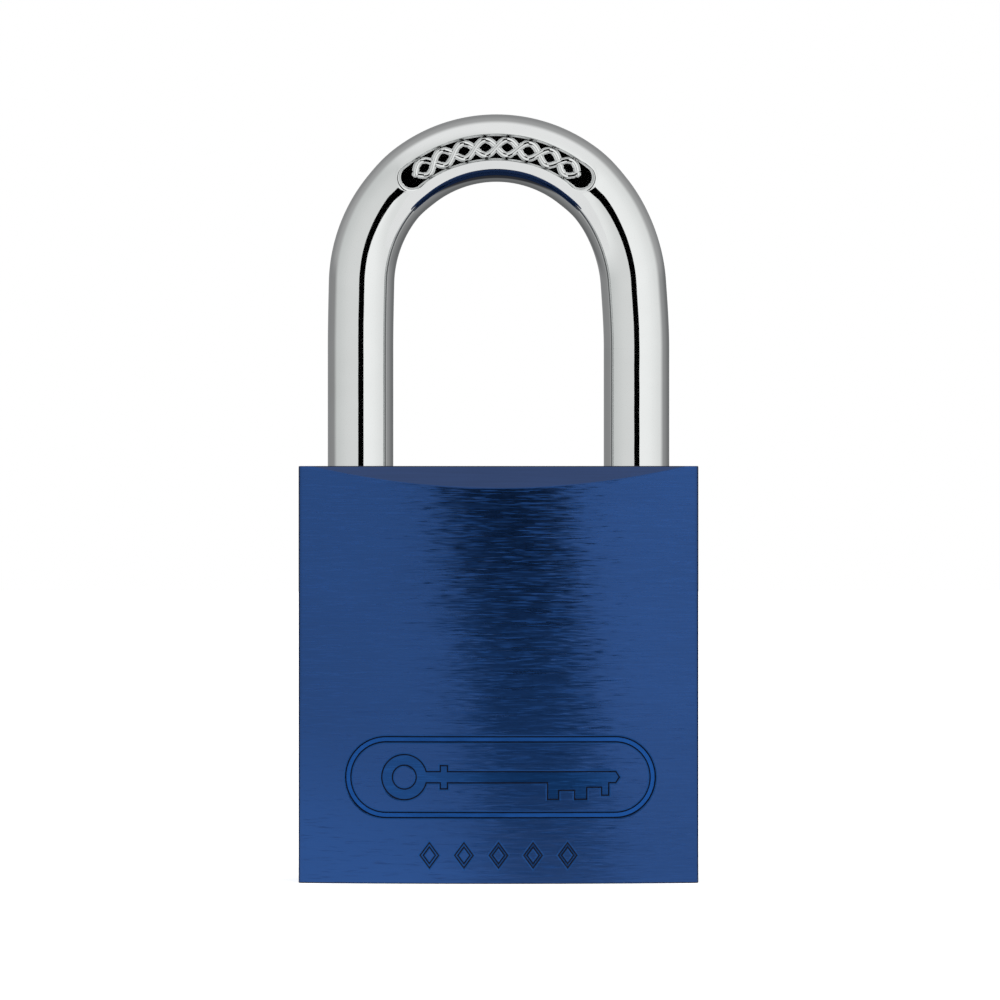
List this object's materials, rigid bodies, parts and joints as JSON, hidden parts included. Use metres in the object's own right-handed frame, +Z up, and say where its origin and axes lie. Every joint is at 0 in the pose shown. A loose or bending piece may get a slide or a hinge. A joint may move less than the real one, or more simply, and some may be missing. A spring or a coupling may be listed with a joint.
{
  "type": "padlock",
  "caption": "Padlock with a convex drilled metal block, a round-bar shackle lifted by a spring, and a turning key plug whose cam drives two latch bolts.",
  "frame": {"origin": "middle of the flat base of the lock body", "axes": "+Z up through the shackle, -Y the front face, the long heel leg at -X"},
  "size_m": [0.04, 0.019, 0.0772],
  "materials": {
    "anodised_aluminium": "blue anodised, brushed",
    "chromed_steel": "polished chrome plate",
    "brass": "turned",
    "bright_steel": "turned",
    "spring_steel": "drawn wire"
  },
  "bodies": {
    "housing": {"lock_body": "anodised_aluminium", "shackle_stop_pin": "bright_steel", "plug_retaining_pin": "bright_steel", "shackle_spring": "spring_steel", "driver_spring_1": "spring_steel", "driver_spring_2": "spring_steel", "driver_spring_3": "spring_steel", "driver_spring_4": "spring_steel", "driver_spring_5": "spring_steel", "driver_spring_6": "spring_steel", "chamber_plug_1": "anodised_aluminium", "chamber_plug_2": "anodised_aluminium", "chamber_plug_3": "anodised_aluminium", "chamber_plug_4": "anodised_aluminium", "chamber_plug_5": "anodised_aluminium", "chamber_plug_6": "anodised_aluminium"},
    "shackle": {"shackle": "chromed_steel"},
    "plug": {"cylinder_plug": "brass", "locking_cam": "bright_steel"},
    "heel_bolt": {"latch_bolt_heel": "bright_steel"},
    "toe_bolt": {"latch_bolt_toe": "bright_steel"},
    "driver_1": {"driver_pin_1": "bright_steel"},
    "key_pin_1": {"key_pin_1": "brass"},
    "driver_2": {"driver_pin_2": "bright_steel"},
    "key_pin_2": {"key_pin_2": "brass"},
    "driver_3": {"driver_pin_3": "bright_steel"},
    "key_pin_3": {"key_pin_3": "brass"},
    "driver_4": {"driver_pin_4": "bright_steel"},
    "key_pin_4": {"key_pin_4": "brass"},
    "driver_5": {"driver_pin_5": "bright_steel"},
    "key_pin_5": {"key_pin_5": "brass"},
    "driver_6": {"driver_pin_6": "bright_steel"},
    "key_pin_6": {"key_pin_6": "brass"}
  },
  "joints": [
    {"name": "shackle_lift", "type": "slide", "parent": "housing", "child": "shackle", "axis": [0, 0, 1], "range_m": [0, 0.012], "deforming": ["shackle_spring"]},
    {"name": "key_turn", "type": "hinge", "parent": "housing", "child": "plug", "pos_m": [0, 0, 0], "axis": [0, 0, 1], "range_deg": [-90, 0]},
    {"name": "heel_bolt_slide", "type": "slide", "parent": "housing", "child": "heel_bolt", "axis": [-1, 0, 0], "range_m": [0, 0.0018]},
    {"name": "toe_bolt_slide", "type": "slide", "parent": "housing", "child": "toe_bolt", "axis": [1, 0, 0], "range_m": [0, 0.0018]},
    {"name": "driver_1_slide", "type": "slide", "parent": "housing", "child": "driver_1", "axis": [1, 0, 0], "range_m": [0, 0.003], "stiffness_N_per_m": 40, "springref_m": -0.004, "deforming": ["driver_spring_1"]},
    {"name": "driver_2_slide", "type": "slide", "parent": "housing", "child": "driver_2", "axis": [1, 0, 0], "range_m": [0, 0.003], "stiffness_N_per_m": 40, "springref_m": -0.004, "deforming": ["driver_spring_2"]},
    {"name": "driver_3_slide", "type": "slide", "parent": "housing", "child": "driver_3", "axis": [1, 0, 0], "range_m": [0, 0.003], "stiffness_N_per_m": 40, "springref_m": -0.004, "deforming": ["driver_spring_3"]},
    {"name": "driver_4_slide", "type": "slide", "parent": "housing", "child": "driver_4", "axis": [1, 0, 0], "range_m": [0, 0.003], "stiffness_N_per_m": 40, "springref_m": -0.004, "deforming": ["driver_spring_4"]},
    {"name": "driver_5_slide", "type": "slide", "parent": "housing", "child": "driver_5", "axis": [1, 0, 0], "range_m": [0, 0.003], "stiffness_N_per_m": 40, "springref_m": -0.004, "deforming": ["driver_spring_5"]},
    {"name": "driver_6_slide", "type": "slide", "parent": "housing", "child": "driver_6", "axis": [1, 0, 0], "range_m": [0, 0.003], "stiffness_N_per_m": 40, "springref_m": -0.004, "deforming": ["driver_spring_6"]},
    {"name": "key_pin_1_slide", "type": "slide", "parent": "plug", "child": "key_pin_1", "axis": [0, -1, 0], "range_m": [0, 0.00185]},
    {"name": "key_pin_2_slide", "type": "slide", "parent": "plug", "child": "key_pin_2", "axis": [0, -1, 0], "range_m": [0, 0.00065]},
    {"name": "key_pin_3_slide", "type": "slide", "parent": "plug", "child": "key_pin_3", "axis": [0, -1, 0], "range_m": [0, 0.00135]},
    {"name": "key_pin_4_slide", "type": "slide", "parent": "plug", "child": "key_pin_4", "axis": [0, -1, 0], "range_m": [0, 0.00045]},
    {"name": "key_pin_5_slide", "type": "slide", "parent": "plug", "child": "key_pin_5", "axis": [0, -1, 0], "range_m": [0, 0.00105]},
    {"name": "key_pin_6_slide", "type": "slide", "parent": "plug", "child": "key_pin_6", "axis": [0, -1, 0], "range_m": [0, 0.00155]}
  ],
  "couplings": [
    {"joint": "heel_bolt_slide", "follows": "key_turn", "m_per_rad": -0.0011459},
    {"joint": "toe_bolt_slide", "follows": "key_turn", "m_per_rad": -0.0011459}
  ]
}
